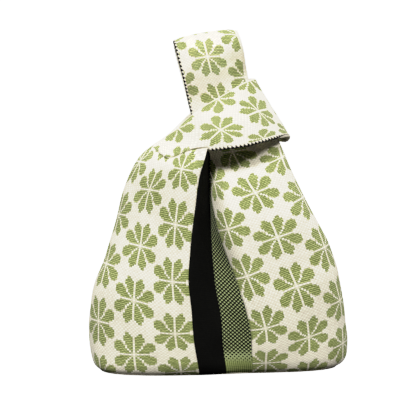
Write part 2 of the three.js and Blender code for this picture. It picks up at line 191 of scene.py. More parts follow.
def loop_row(u, cols):
    a, b = catmull(LOW, u), catmull(UP, u)
    q = np.linspace(0, 1, 161)
    n = 1.5 + (1.2 - 1.5) * smooth(min(u, 14 - u) / 7 / 0.4)
    h = np.clip(1 - q ** n, 0, 1) ** (1 / n)
    fold = 4 * np.sin(math.pi * q) * (1 - smooth(min(u, 14 - u) / 1.6))
    return resample(np.stack([a[0] + (b[0] - a[0]) * q, b[1] + (a[1] - b[1]) * h + (fold if u < 7 else -fold),
                              a[2] + (b[2] - a[2]) * q], 1), cols)


def strap_at(w, h, y):
    w, h, y = np.broadcast_arrays(np.asarray(w, float), np.asarray(h, float), np.asarray(y, float))
    return np.stack([STRAP_ORG[0] + w * CT - h * ST, y, STRAP_ORG[1] + w * ST + h * CT], -1)


def even_rows(fn, lo, hi, count, cols=9):
    """Row positions that are evenly spaced along the cloth, and the length along its middle."""
    t = np.linspace(lo, hi, 401)
    mid = np.array([fn(float(v), cols)[cols // 2] for v in t])
    L = arc(mid)
    return np.interp(np.linspace(0, L[-1], count), L, t), (t, L)


def mirror(P):
    return P * np.array([1, -1, 1])


def wobble(P):
    """Slight unevenness of soft knit, the same for all pieces so that their seams still meet."""
    x, y, z = P[:, 0], P[:, 1], P[:, 2]
    lift = smooth(z / 25.0)
    dx = 0.5 * np.sin(z / 17.0 + y / 31.0) + 0.35 * np.sin(z / 9.3 + x / 23.0 + 1.7)
    dy = (0.9 * np.sin(x / 19.0 + z / 27.0 + 0.6) + 0.6 * np.sin(x / 11.0 - z / 15.0 + 2.1)
          + 0.35 * np.sin(x / 6.1 + z / 8.7))
    dz = 0.4 * np.sin(x / 14.0 + z / 33.0) * lift
    return P + np.stack([dx * lift, dy * lift * 0.8, dz], 1)


# ---------------------------------------------------------------------------
# Meshes
# ---------------------------------------------------------------------------
def make_mesh(name, verts, faces, uvs, bake, mat_index, materials):
    """faces: list of (quads, mat) arrays; uvs and bake are per loop."""
    me = bpy.data.meshes.new(name)
    nv, nf = len(verts), len(faces)
    me.vertices.add(nv)
    me.vertices.foreach_set("co", np.asarray(verts, np.float32).ravel())
    me.loops.add(nf * 4)
    me.loops.foreach_set("vertex_index", np.asarray(faces, np.int32).ravel())
    me.polygons.add(nf)
    me.polygons.foreach_set("loop_start", np.arange(0, nf * 4, 4, dtype=np.int32))
    for m in materials:
        me.materials.append(m)
    me.polygons.foreach_set("material_index", np.asarray(mat_index, np.int32))
    me.polygons.foreach_set("use_smooth", np.ones(nf, bool))
    me.update(calc_edges=True)
    for label, data in (("knit", uvs), ("OFBake", bake)):
        layer = me.uv_layers.new(name=label)
        layer.data.foreach_set("uv", np.asarray(data, np.float32).ravel())
    me.uv_layers.active = me.uv_layers["knit"]
    me.validate()
    ob = bpy.data.objects.new(name, me)
    bpy.context.scene.collection.objects.link(ob)
    return ob


def cloth(name, patches, materials, thick=KNIT, shake=True):
    """A piece of knitted cloth with real thickness from one or more grids.
    patch = (points R x C x 3, knit uv R x C x 2, flip)."""
    pts, uv, quads, bake_out, bake_in = [], [], [], [], []
    sizes = []
    for P, UV, flip in patches:
        w = np.linalg.norm(np.diff(P, axis=1), axis=2).sum(1).max()
        l = np.linalg.norm(np.diff(P, axis=0), axis=2).sum(0).max()
        sizes.append((w, l))
    gap = 6.0
    total = sum(2 * (w + gap) for w, _ in sizes) + 12
    scale = 1.0 / max(total, max(l for _, l in sizes) + 2 * gap)
    x = gap
    base = 0
    for (P, UV, flip), (w, l) in zip(patches, sizes):
        R, C = P.shape[:2]
        ids = base + np.arange(R * C).reshape(R, C)
        q = np.stack([ids[:-1, :-1], ids[:-1, 1:], ids[1:, 1:], ids[1:, :-1]], -1).reshape(-1, 4)
        quads.append(q[:, ::-1] if flip else q)
        pts.append(P.reshape(-1, 3))
        uv.append(UV.reshape(-1, 2))
        cc, rr = np.meshgrid(np.linspace(0, w, C), np.linspace(gap, l + gap, R))
        bake_out.append(np.stack([x + cc, rr], -1).reshape(-1, 2))
        x += w + gap
        bake_in.append(np.stack([x + cc, rr], -1).reshape(-1, 2))
        x += w + gap
        base += R * C
    pts, uv, quads = np.concatenate(pts), np.concatenate(uv), np.concatenate(quads)
    bake_out, bake_in = np.concatenate(bake_out) * scale, np.concatenate(bake_in) * scale
    key = np.round(pts * 1000).astype(np.int64)
    _, first, inv = np.unique(key, axis=0, return_index=True, return_inverse=True)
    inv = inv.reshape(-1)
    P = pts[first]
    if shake:
        P = wobble(P)
    F = inv[quads]
    a, b, c, d = (P[F[:, k]] for k in range(4))
    fn = np.cross(c - a, d - b)
    N = np.zeros_like(P)
    for k in range(4):
        np.add.at(N, F[:, k], fn)
    N /= np.maximum(np.linalg.norm(N, axis=1, keepdims=True), 1e-9)
    n = len(P)
    verts = np.concatenate([P, P - N * thick])
    # rim: edges that only one face uses
    e_v = np.concatenate([F[:, [k, (k + 1) % 4]] for k in range(4)])
    e_p = np.concatenate([quads[:, [k, (k + 1) % 4]] for k in range(4)])
    one = e_v[:, 0].astype(np.int64) * n + e_v[:, 1]
    two = e_v[:, 1].astype(np.int64) * n + e_v[:, 0]
    free = ~np.isin(one, two)
    ev, ep = e_v[free], e_p[free]
    rim = np.stack([ev[:, 1], ev[:, 0], ev[:, 0] + n, ev[:, 1] + n], 1)
    faces = np.concatenate([F, F[:, ::-1] + n, rim])
    knit = np.concatenate([uv[quads].reshape(-1, 2), uv[quads[:, ::-1]].reshape(-1, 2),
                           uv[np.stack([ep[:, 1], ep[:, 0], ep[:, 0], ep[:, 1]], 1)].reshape(-1, 2)])
    k = np.arange(len(rim)) / max(1, len(rim)) * 0.98 + 0.01
    dk = 0.9 * 0.98 / max(1, len(rim))
    x0, x1 = (x + 1) * scale, (x + 8) * scale
    rb = np.stack([np.stack([np.full_like(k, x0), k], 1), np.stack([np.full_like(k, x0), k + dk], 1),
                   np.stack([np.full_like(k, x1), k + dk], 1), np.stack([np.full_like(k, x1), k], 1)], 1)
    bake = np.concatenate([bake_out[quads].reshape(-1, 2), bake_in[quads[:, ::-1]].reshape(-1, 2),
                           rb.reshape(-1, 2)])
    mats = np.concatenate([np.zeros(len(F)), np.ones(len(F)), np.full(len(rim), 2)])
    verts = (verts + np.array([OX, 0, 0])) * 0.001
    return make_mesh(name, verts, faces, knit, bake, mats, materials)


def hem(name, line, inside, away, materials, out_r=1.5, face_r=1.4, out=0.6, turn=0.0,
        sides=14, step=0.85, period=4.3, ripple=0.10, thick=KNIT, pinch=None):
    """A knitted hem along a free edge: a rounded band whose stitches wrap the edge.
    away: points on the face side, to tell the outer face."""
    line, inside, away = wobble(line), wobble(inside), np.asarray(away, float)
    L = arc(line)
    count = max(8, int(round(L[-1] / step)))
    s = np.linspace(0, L[-1], count)
    at = lambda Q: np.stack([np.interp(s, L, Q[:, k]) for k in range(3)], 1)
    p, q, f = at(line), at(inside), at(away)
    t = np.gradient(p, axis=0)
    t /= np.linalg.norm(t, axis=1, keepdims=True)
    o = p - q
    o -= t * (o * t).sum(1, keepdims=True)
    o /= np.linalg.norm(o, axis=1, keepdims=True)
    nn = np.cross(t, o)
    nn *= np.sign((nn * f).sum(1, keepdims=True) + 1e-9)
    ang = np.linspace(-math.pi, math.pi, sides, endpoint=False)
    ca, sa = np.cos(ang), np.sin(ang)
    rip = 1 + ripple * np.cos(2 * math.pi * s / period)[:, None] * np.clip(ca, 0, 1)[None, :]
    grow = np.minimum(1, np.minimum(s, L[-1] - s) / 1.2)[:, None] * 0.5 + 0.5
    ring = (p[:, None, :] + o[:, None, :] * ((out_r * ca)[None, :] * rip * grow + out)[..., None]
            + nn[:, None, :] * ((face_r * sa)[None, :] * grow - thick / 2)[..., None])
    verts = ring.reshape(-1, 3)
    ids = np.arange(count * sides).reshape(count, sides)
    nxt = np.roll(ids, -1, axis=1)
    quads = np.stack([ids[:-1], nxt[:-1], nxt[1:], ids[1:]], -1).reshape(-1, 4)
    deg = np.degrees(ang)
    deg2 = np.append(deg, 180.0)
    U0 = np.repeat(s[:-1, None], sides, 1)
    U1 = np.repeat(s[1:, None], sides, 1)
    A0 = np.repeat(deg2[None, :-1], count - 1, 0)
    A1 = np.repeat(deg2[None, 1:], count - 1, 0)
    squeeze = np.interp(s / L[-1], *np.array(pinch).T) if pinch else np.ones(count)
    K0, K1 = squeeze[:-1, None], squeeze[1:, None]
    lay = lambda a, k: 75.0 - (75.0 - a - turn) * k           # pinched: the black yarn narrows to a line
    knit = np.stack([np.stack([U0, lay(A0, K0)], -1), np.stack([U0, lay(A1, K0)], -1),
                     np.stack([U1, lay(A1, K1)], -1), np.stack([U1, lay(A0, K1)], -1)], 2).reshape(-1, 2)
    # bake map: the band folded into rows
    rows = max(1, int(math.ceil(math.sqrt(L[-1] / 9.0))))
    per = L[-1] / rows
    r0 = np.minimum((U0 / per).astype(int), rows - 1)
    bx0, bx1 = (U0 - r0 * per) / (per + 2) * 0.96 + 0.01, (U1 - r0 * per) / (per + 2) * 0.96 + 0.01
    by0 = (r0 + 0.05 + 0.9 * (A0 + 180) / 360) / rows * 0.98 + 0.01
    by1 = (r0 + 0.05 + 0.9 * (A1 + 180) / 360) / rows * 0.98 + 0.01
    bake = np.stack([np.stack([bx0, by0], -1), np.stack([bx0, by1], -1),
                     np.stack([bx1, by1], -1), np.stack([bx1, by0], -1)], 2).reshape(-1, 2)
    # closed ends: quads across each end ring
    half = sides // 2
    ends = []
    for row, rev in ((ids[0], True), (ids[-1], False)):
        for k in range(half - 1):
            qd = [row[k], row[k + 1], row[sides - 2 - k], row[sides - 1 - k]]
            ends.append(qd[::-1] if rev else qd)
    ends = np.array(ends)
    quads = np.concatenate([quads, ends])
    knit = np.concatenate([knit, np.zeros((len(ends) * 4, 2))])
    eb = np.tile(np.array([[0.985, 0.0], [0.995, 0.0], [0.995, 0.006], [0.985, 0.006]]), (len(ends), 1))
    eb[:, 1] += np.repeat(np.arange(len(ends)) * 0.012 + 0.01, 4)
    bake = np.concatenate([bake, eb])
    verts = (verts + np.array([OX, 0, 0])) * 0.001
    # faces must point outwards
    ctr = p.mean(0)
    P = ring
    fnv = np.cross(P[1, 0] - P[0, 0], P[0, 1] - P[0, 0])
    outv = P[0, 0] - p[0] - o[0] * out + nn[0] * thick / 2
    flip = np.dot(np.cross(verts[quads[0, 2]] - verts[quads[0, 0]], verts[quads[0, 3]] - verts[quads[0, 1]]), outv) < 0
    if flip:
        quads = quads[:, ::-1]
        knit = knit.reshape(-1, 4, 2)[:, ::-1].reshape(-1, 2)
        bake = bake.reshape(-1, 4, 2)[:, ::-1].reshape(-1, 2)
    return make_mesh(name, verts, quads, knit, bake, np.zeros(len(quads)), materials)


# ---------------------------------------------------------------------------
# Materials
# ---------------------------------------------------------------------------
def srgb(r, g, b):
    f = lambda c: c / 12.92 if c <= 0.04045 else ((c + 0.055) / 1.055) ** 2.4
    return (f(r / 255), f(g / 255), f(b / 255), 1.0)


class Net:
    def __init__(self, name):
        self.mat = bpy.data.materials.new(name)
        self.mat.use_nodes = True
        self.t = self.mat.node_tree
        self.t.nodes.clear()

    def node(self, kind, **props):
        n = self.t.nodes.new(kind)
        for k, v in props.items():
            setattr(n, k, v)
        return n

    def put(self, sock, v):
        if isinstance(v, bpy.types.NodeSocket):
            self.t.links.new(v, sock)
        else:
            sock.default_value = v

    def m(self, op, a, b=None, c=None, clamp=False):
        n = self.node("ShaderNodeMath", operation=op, use_clamp=clamp)
        for k, v in enumerate((a, b, c)):
            if v is not None:
                self.put(n.inputs[k], v)
        return n.outputs[0]

    def add(self, *v):
        out = v[0]
        for x in v[1:]:
            out = self.m("ADD", out, x)
        return out

    def sub(self, a, b): return self.m("SUBTRACT", a, b)
    def mul(self, a, b): return self.m("MULTIPLY", a, b)
    def lin(self, a, k, c): return self.m("MULTIPLY_ADD", a, k, c)
    def abs(self, a): return self.m("ABSOLUTE", a)
    def floor(self, a): return self.m("FLOOR", a)
    def fract(self, a): return self.m("FRACT", a)
    def mod(self, a, b): return self.m("FLOORED_MODULO", a, b)
    def gt(self, a, b): return self.m("GREATER_THAN", a, b)

    def low(self, *v):
        out = v[0]
        for x in v[1:]:
            out = self.m("MINIMUM", out, x)
        return out

    def high(self, *v):
        out = v[0]
        for x in v[1:]:
            out = self.m("MAXIMUM", out, x)
        return out

    def ramp(self, v, a, b, lo=0.0, hi=1.0, kind="SMOOTHSTEP"):
        n = self.node("ShaderNodeMapRange", interpolation_type=kind, clamp=True) \
            if kind == "LINEAR" else self.node("ShaderNodeMapRange", interpolation_type=kind)
        for k, x in enumerate((v, a, b, lo, hi)):
            self.put(n.inputs[k], x)
        return n.outputs[0]

    def mix(self, f, a, b, blend="MIX"):
        n = self.node("ShaderNodeMix", data_type="RGBA", blend_type=blend)
        self.put(n.inputs[0], f)
        self.put(n.inputs[6], a)
        self.put(n.inputs[7], b)
        return n.outputs[2]

    def uv(self, name="knit"):
        n = self.node("ShaderNodeUVMap", uv_map=name)
        s = self.node("ShaderNodeSeparateXYZ")
        self.t.links.new(n.outputs[0], s.inputs[0])
        return s.outputs[0], s.outputs[1]

    def xyz(self, x, y, z=0.0):
        n = self.node("ShaderNodeCombineXYZ")
        for k, v in enumerate((x, y, z)):
            self.put(n.inputs[k], v)
        return n.outputs[0]

    def rand(self, x, y, seed=0.0):
        n = self.node("ShaderNodeTexWhiteNoise", noise_dimensions="3D")
        self.put(n.inputs[0], self.xyz(x, y, seed))
        return n.outputs[0]

    def noise(self, vec, scale, detail=2.0, rough=0.5):
        n = self.node("ShaderNodeTexNoise", noise_dimensions="3D")
        if vec is not None:
            self.put(n.inputs["Vector"], vec)
        self.put(n.inputs["Scale"], scale)
        self.put(n.inputs["Detail"], detail)
        self.put(n.inputs["Roughness"], rough)
        return n.outputs[0]

    def obj(self):
        return self.node("ShaderNodeTexCoord").outputs["Object"]

    def finish(self, colour, rough, height, bump=0.6, dist=0.0006, sheen=0.12, spec=0.25):
        b = self.node("ShaderNodeBsdfPrincipled")
        self.put(b.inputs["Base Color"], colour)
        self.put(b.inputs["Roughness"], rough)
        b.inputs["Specular IOR Level"].default_value = spec
        b.inputs["Sheen Weight"].default_value = sheen
        b.inputs["Sheen Roughness"].default_value = 0.5
        if height is not None:
            n = self.node("ShaderNodeBump")
            n.inputs["Strength"].default_value = bump
            n.inputs["Distance"].default_value = dist
            self.put(n.inputs["Height"], height)
            self.t.links.new(n.outputs[0], b.inputs["Normal"])
        o = self.node("ShaderNodeOutputMaterial")
        self.t.links.new(b.outputs[0], o.inputs[0])
        return self.mat


def stitches(n, u, v, lean=0.8):
    """Stitch number along and across, and the relief of a knitted stitch (0 in the gaps, 1 on the yarn)."""
    half = n.abs(n.sub(n.fract(u), 0.5))
    vv = n.sub(v, n.mul(half, lean))
    i, j = n.floor(u), n.floor(vv)
    fv = n.fract(vv)
    leg = n.lin(n.abs(n.sub(half, 0.25)), -4.0, 1.0)          # across each of the two legs
    leg = n.m("SQRT", n.high(leg, 0.0))
    row = n.mul(n.mul(fv, n.lin(fv, -1.0, 1.0)), 4.0)          # along the course
    return i, j, leg, n.m("SQRT", n.high(row, 0.0))


WALE, COURSE = 2.095, 57.5 / 30


def jacquard():
    n = Net("jacquard_knit")
    u, v = n.uv()
    i, j, leg, row = stitches(n, u, v, 0.4)
    shifted = n.add(i, 10.0)
    c = n.floor(n.m("DIVIDE", shifted, 21.0))
    x = n.mul(n.abs(n.sub(n.mod(shifted, 21.0), 10.0)), WALE)
    drop = n.mul(n.mod(c, 2.0), 15.0)
    y = n.mul(n.abs(n.sub(n.mod(n.add(j, drop, 15.0), 30.0), 15.0)), COURSE)
    petal = lambda a, b, a0, ra, b0, rb: n.sub(1.0, n.add(
        n.m("POWER", n.m("DIVIDE", n.high(n.sub(a, a0), 0.0), ra), 2.0),
        n.m("POWER", n.m("DIVIDE", n.abs(n.sub(b, b0)), rb), 2.0)))
    up = n.low(n.sub(x, 1.0), n.sub(n.lin(y, 0.75, 0.6), x),
               petal(n.add(n.mul(x, 0.259), n.mul(y, 0.966)), n.add(n.mul(x, 0.966), n.mul(y, -0.259)),
                     16.5, 8.3, 1.2, 5.1))
    side = n.low(n.sub(y, 1.0), n.sub(n.lin(x, 1.0, -0.8), y),
                 petal(n.add(n.mul(x, 0.891), n.mul(y, 0.454)), n.add(n.mul(x, -0.454), n.mul(y, 0.891)),
                       17.0, 8.6, -0.1, 5.75))
    green = n.gt(n.high(up, side), 0.0)
    heart = n.mul(n.mul(n.gt(x, 1.0), n.gt(3.0, x)), n.mul(n.gt(y, 1.0), n.gt(3.0, y)))
    green = n.high(green, n.mul(heart, 0.6))                   # green floats show beside the heart of a flower
    r1, r2 = n.rand(i, j, 1.0), n.rand(i, j, 5.0)
    broad = n.noise(n.obj(), 28.0, 3.0)
    relief = n.add(n.mul(leg, 0.4), n.mul(row, 0.6))
    # painted shade: the cream is darker in the gaps between stitches and brighter on the yarn
    cream = n.mix(n.ramp(relief, 0.25, 0.95), srgb(220, 212, 184), srgb(255, 252, 230))
    eye = n.mod(n.add(i, j), 2.0)                              # the yarns behind show through every other stitch
    cream = n.mix(n.ramp(r1, 0.35, 1.0, 0.0, 0.3), cream, srgb(200, 186, 160))
    cream = n.mix(n.mul(eye, 0.44), cream, srgb(194, 177, 154))
    # painted shade: the green is dark in the gaps between courses and bright on the yarn
    leaf = n.mix(n.ramp(row, 0.55, 0.97), srgb(27, 36, 2), srgb(194, 203, 128))
    leaf = n.mix(n.ramp(r2, 0.35, 1.0, 0.0, 0.4), leaf, srgb(94, 106, 44))
    leaf = n.mix(n.mul(n.mod(j, 2.0), 0.16), leaf, srgb(78, 90, 32))
    leaf = n.mix(n.mul(eye, 0.28), leaf, srgb(58, 72, 18))
    col = n.mix(green, cream, leaf)
    col = n.mix(n.ramp(broad, 0.35, 0.75, 0.0, 0.08), col, srgb(205, 196, 170), "MULTIPLY")
    h = n.add(relief, n.mul(r1, 0.15), n.mul(green, -0.1))
    return n.finish(col, n.lin(r1, 0.1, 0.82), h, 0.55, 0.0007)


def backing():
    """Wrong side of the double knit: the yarns alternate in a bird's-eye."""
    n = Net("knit_backing")
    u, v = n.uv()
    i, j, leg, row = stitches(n, u, v)
    k = n.mod(n.add(i, n.mul(j, 1.0)), 2.0)
    course = n.mod(j, 2.0)
    col = n.mix(k, srgb(196, 190, 168), srgb(128, 140, 84))
    dark = n.mul(n.gt(k, 0.5), n.gt(course, 0.5))
    col = n.mix(n.mul(dark, 0.85), col, srgb(26, 26, 22))
    r = n.rand(i, j, 2.0)
    relief = n.add(n.mul(leg, 0.45), n.mul(row, 0.55))
    # painted shade: the colour darkens towards black in the gaps between stitches
    col = n.mix(n.ramp(relief, 0.2, 0.9, 0.35, 0.0), col, srgb(20, 20, 16))
    return n.finish(col, n.lin(r, 0.1, 0.85), n.add(relief, n.mul(r, 0.15)), 0.5, 0.0006)


def check():
    """Two-colour check; next to the base the dark yarn stays behind and only ribs show."""
    n = Net("check_knit")
    u, v = n.uv()
    i, j, leg, row = stitches(n, u, v, 0.5)
    r = n.rand(i, j, 3.0)
    wave = n.mul(n.m("COSINE", n.mul(u, math.pi)), n.m("COSINE", n.mul(v, math.pi)))
    wave = n.sub(wave, n.ramp(v, 8.0, 17.0, 0.6, 0.0))
    k = n.mul(n.ramp(wave, -0.36, -0.2), n.ramp(n.add(v, n.mul(r, 2.0)), 8.0, 11.0))
    # painted shade: the pale yarn is darker in the gaps between courses
    pale = n.mix(n.ramp(row, 0.2, 0.9), srgb(98, 110, 60), srgb(172, 183, 130))
    pale = n.mix(n.mul(r, 0.25), pale, srgb(160, 172, 116))
    # painted shade: the ribs are darker in the grooves between them
    rib = n.mix(n.ramp(n.abs(n.sub(n.fract(u), 0.5)), 0.1, 0.4), srgb(144, 154, 94), srgb(100, 111, 58))
    pale = n.mix(n.ramp(v, 7.0, 12.0), rib, pale)
    col = n.mix(k, pale, srgb(6, 8, 2))
    relief = n.add(n.mul(leg, 0.4), n.mul(row, 0.6))
    return n.finish(col, n.lin(r, 0.1, 0.84), n.add(relief, n.mul(r, 0.1)), 0.55, 0.0007, 0.05, 0.15)


def black():
    n = Net("black_knit")
    u, v = n.uv()
    i, j, leg, row = stitches(n, u, v)
    r = n.rand(i, j, 4.0)
    relief = n.add(n.mul(leg, 0.4), n.mul(row, 0.6))
    # painted shade: slightly darker in the gaps between stitches
    col = n.mix(n.ramp(relief, 0.2, 0.95), srgb(2, 2, 2), srgb(12, 12, 10))
    col = n.mix(n.mul(r, 0.3), col, srgb(6, 6, 5))
    return n.finish(col, n.lin(r, 0.1, 0.8), n.add(relief, n.mul(r, 0.15)), 0.5, 0.0006, 0.0, 0.05)


def edging():
    """Hem: black stitches that bite into the cream edge in saw teeth. u runs along the edge in
    millimetres, v is the angle round it in degrees."""
    n = Net("edging_knit")
    u, v = n.uv()
    tooth = n.m("PINGPONG", n.add(u, n.mul(v, 0.012)), 2.15)
    front = n.sub(75.0, n.mul(tooth, 54.0))
    rear = n.add(n.mul(tooth, -9.0), -92.0)
    dark = n.mul(n.gt(front, v), n.gt(v, rear))
    strand = n.m("PINGPONG", n.add(u, n.mul(v, 0.03)), 1.075)
    relief = n.ramp(strand, 0.0, 1.0)
    r = n.rand(n.floor(n.m("DIVIDE", u, 2.15)), n.floor(n.m("DIVIDE", v, 45.0)), 6.0)
    # painted shade: the cream yarn is darker between the wrapped strands
    pale = n.mix(relief, srgb(206, 198, 172), srgb(248, 244, 224))
    pale = n.mix(n.mul(r, 0.2), pale, srgb(226, 214, 196))
    # painted shade: the black yarn is darker between the wrapped strands
    ink = n.mix(relief, srgb(2, 2, 2), srgb(9, 9, 8))
    return n.finish(n.mix(dark, pale, ink), n.lin(r, 0.1, 0.82), n.add(relief, n.mul(r, 0.2)), 0.6, 0.0006, 0.0, 0.06)


M_JACQ, M_BACK, M_CHECK, M_BLACK, M_EDGE = jacquard(), backing(), check(), black(), edging()

# ---------------------------------------------------------------------------
# Camera, floor and light
# ---------------------------------------------------------------------------
sc = bpy.context.scene
AZ, EL, DIST = math.radians(-5.0), math.radians(7.0), 1.9
target = Vector((-0.01285, 0.0, 0.172))
back = Vector((math.sin(AZ) * math.cos(EL), -math.cos(AZ) * math.cos(EL), math.sin(EL)))
cam = bpy.data.objects.new("camera", bpy.data.cameras.new("camera"))
sc.collection.objects.link(cam)
cam.location = target + back * DIST
cam.rotation_mode = "QUATERNION"
cam.rotation_quaternion = back.to_track_quat("Z", "Y")
cam.data.sensor_width = 36.0
cam.data.lens = 18.0 / (208 / (1.9 / 0.00107))
cam.data.clip_start, cam.data.clip_end = 0.05, 50.0
sc.camera = cam
sc.view_settings.view_transform = "Standard"
sc.view_settings.look = "None"
sc.view_settings.exposure = 0.0
sc.view_settings.gamma = 1.0
sc.view_settings.use_curve_mapping = True                      # soft shoulder, so pale yarn keeps its detail
tone = sc.view_settings.curve_mapping
tone.use_clip, tone.extend = False, "EXTRAPOLATED"
shoulder = tone.curves[3].points
shoulder[1].location = (1.8, 1.01)
for at in ((0.35, 0.35), (0.7, 0.7), (0.85, 0.79), (1.0, 0.84)):
    shoulder.new(*at)
for point in shoulder:
    point.handle_type = "VECTOR"
tone.update()

world = bpy.data.worlds.new("studio")
world.use_nodes = True
sc.world = world
AMBIENT = 0.02
wt = world.node_tree
bg = wt.nodes["Background"]
bg.inputs[0].default_value = (1.0, 1.0, 1.0, 1.0)
path = wt.nodes.new("ShaderNodeLightPath")
level = wt.nodes.new("ShaderNodeMapRange")
level.inputs[3].default_value, level.inputs[4].default_value = AMBIENT, 1.9
wt.links.new(path.outputs["Is Camera Ray"], level.inputs[0])
wt.links.new(level.outputs[0], bg.inputs[1])


def lamp(name, at, aim, size, power, colour=(1, 1, 1)):
    d = bpy.data.lights.new(name, "AREA")
    d.shape, d.size, d.energy, d.color = "DISK", size, power, colour
    o = bpy.data.objects.new(name, d)
    o.location = at
    o.rotation_mode = "QUATERNION"
    o.rotation_quaternion = (Vector(at) - Vector(aim)).to_track_quat("Z", "Y")
    sc.collection.objects.link(o)
    return o


def from_dir(az, el, dist):
    a, e = math.radians(az), math.radians(el)
    return target + Vector((math.sin(a) * math.cos(e), -math.cos(a) * math.cos(e), math.sin(e))) * dist


lamp("key", from_dir(-28, 44, 3.4), target, 0.8, 116.0)
lamp("key2", from_dir(30, 42, 3.4), target, 0.9, 86.0)
lamp("left", from_dir(-115, 30, 1.8), target, 0.8, 13.0)
lamp("right", from_dir(120, 28, 1.8), target, 0.8, 16.0)
lamp("rear", from_dir(180, 40, 1.8), target, 0.8, 24.0)
snoot = lamp("snoot", from_dir(-10, 12, 2.2), Vector((-0.014, -0.016, 0.336)), 0.06, 0.02)
snoot.data.spread = math.radians(4.0)                          # a narrow beam on the handle only

fm = bpy.data.meshes.new("floor")
S = 8.0
fm.from_pydata([(-S, -S, -0.0004), (S, -S, -0.0004), (S, S, -0.0004), (-S, S, -0.0004)], [], [(0, 1, 2, 3)])
floor = bpy.data.objects.new("floor", fm)
sc.collection.objects.link(floor)
nf = Net("floor_white")
grain = nf.noise(nf.obj(), 3.0, 2.0)
fb = nf.node("ShaderNodeBsdfPrincipled")
nf.put(fb.inputs["Base Color"], nf.mix(grain, srgb(52, 52, 52), srgb(58, 58, 58)))
fb.inputs["Roughness"].default_value = 0.95
fb.inputs["Emission Color"].default_value = (1, 1, 1, 1)
seen = nf.node("ShaderNodeLightPath")
nf.put(fb.inputs["Emission Strength"], nf.mul(seen.outputs["Is Camera Ray"], 1.9))
fo = nf.node("ShaderNodeOutputMaterial")
nf.t.links.new(fb.outputs[0], fo.inputs[0])
fm.materials.append(nf.mat)

# ---------------------------------------------------------------------------
# Left piece: front of the bag, over the shoulder into the short loop, round its fold and down the back
# ---------------------------------------------------------------------------
COLS = 61
left_fn = lambda i, c: panel_row(rL, fA, fB, i, c)
right_fn = lambda i, c: panel_row(rR, fC, fD, i, c)
li, (lt, lL) = even_rows(left_fn, 0.0, 12.0, 151)
lu, _ = even_rows(loop_row, 0.0, 7.0, 56)
cols = np.linspace(0, 1, COLS)
stack = lambda U, V: np.stack([(U - 17.8) / WALE + 0.5, V / COURSE + 0.5], -1)


def knit_plan(P, marks):
    """Where the knit's stitches lie on a cloth strip: a thin plate through the rosette centres.
    mark = (mm along the strip's middle, part of its width, mm across the knit, mm along the knit)."""
    L, wide = arc(P[:, COLS // 2]), np.linalg.norm(np.diff(P, axis=1), axis=2).sum(1)
    mk = np.array(marks, float)
    at = np.stack([mk[:, 1] * np.interp(mk[:, 0], L, wide), mk[:, 0]], 1) / 100.0
    kern = lambda a, b: (lambda d: 0.5 * d * np.log(d + 1e-12))(((a[:, None] - b[None]) ** 2).sum(-1))
    m = len(mk)
    A = np.zeros((m + 3, m + 3))
    A[:m, :m] = kern(at, at) + 0.0008 * np.eye(m)
    A[:m, m], A[:m, m + 1:] = 1, at
    A[m:, :m] = A[:m, m:].T
    w = np.linalg.solve(A, np.concatenate([mk[:, 2:], np.zeros((3, 2))]))
    q = np.stack([cols[None, :] * wide[:, None], np.repeat(L[:, None], COLS, 1)], -1).reshape(-1, 2) / 100.0
    UV = kern(q, at) @ w[:m] + w[m] + q @ w[m + 1:]
    return UV.reshape(len(P), COLS, 2)


PANEL_MARKS = [
  [6.7, 0.136, 17.8, -4], [50.6, 0.142, 17.8, 53.5], [108.4, 0.147, 17.8, 111], [171.7, 0.189, 17.8, 168.5],
  [231.5, 0.242, 17.8, 226], [25.1, 0.475, 61.8, 24.75], [82.4, 0.481, 61.8, 82.25],
  [140.2, 0.522, 61.8, 139.75], [199.1, 0.55, 61.8, 197.25], [55.6, 0.803, 105.8, 53.5],
  [113.2, 0.886, 105.8, 111], [164.1, 0.931, 105.8, 168.5], [222.9, 0.881, 105.8, 226],
  [254.7, 0.389, 25.4, 249.6], [264.1, 0.297, 10.2, 249.6], [221.3, 0.008, -5.1, 214.5],
  [209.6, 0.131, 10.2, 202.4], [208.3, 0.269, 25.4, 202.4], [217.8, 0.372, 40.7, 214.5],
  [241, 0.414, 40.7, 237.5], [264.4, 0.028, 1, 243.5], [280.7, 0.011, 2, 250]]
LOOP_MARKS = [
  [305.7, 0.347, 17.8, 283.5], [353.4, 0.486, 17.8, 341], [271.2, 0.953, 61.8, 254.75],
  [342.1, 0.011, -26.2, 312.25], [321.9, 0.533, 25.4, 307.1], [327.6, 0.314, 10.2, 307.1],
  [306, 0.681, 40.7, 295], [287.6, 0.622, 40.7, 272], [280.4, 0.336, 25.4, 259.9], [288.5, 0.067, 10.2, 259.9],
  [310.4, 0.053, -5.1, 272], [323.7, 0.136, -5.1, 295], [369.4, 0.606, 25.4, 364.6],
  [367.9, 0.356, 10.2, 364.6], [332.3, 0.569, 25.4, 317.4], [338.6, 0.361, 10.2, 317.4],
  [355.2, 0.781, 40.7, 352.5], [338.6, 0.769, 40.7, 329.5], [364.1, 0.197, -5.1, 352.5],
  [353.1, 0.186, -5.1, 329.5], [345.1, 0.183, -3.3, 323.75], [328.8, 0.131, -3.3, 300.75],
  [281.6, 0.631, 38.9, 266.25], [262.8, 0.611, 38.9, 243.25], [286.7, 0.933, 54.2, 278.35],
  [257.2, 0.867, 54.2, 231.15], [256.9, 0.583, 40.7, 237.5], [263.5, 0.394, 25.4, 249.6],
  [237.9, 0.547, 40.7, 214.5]]
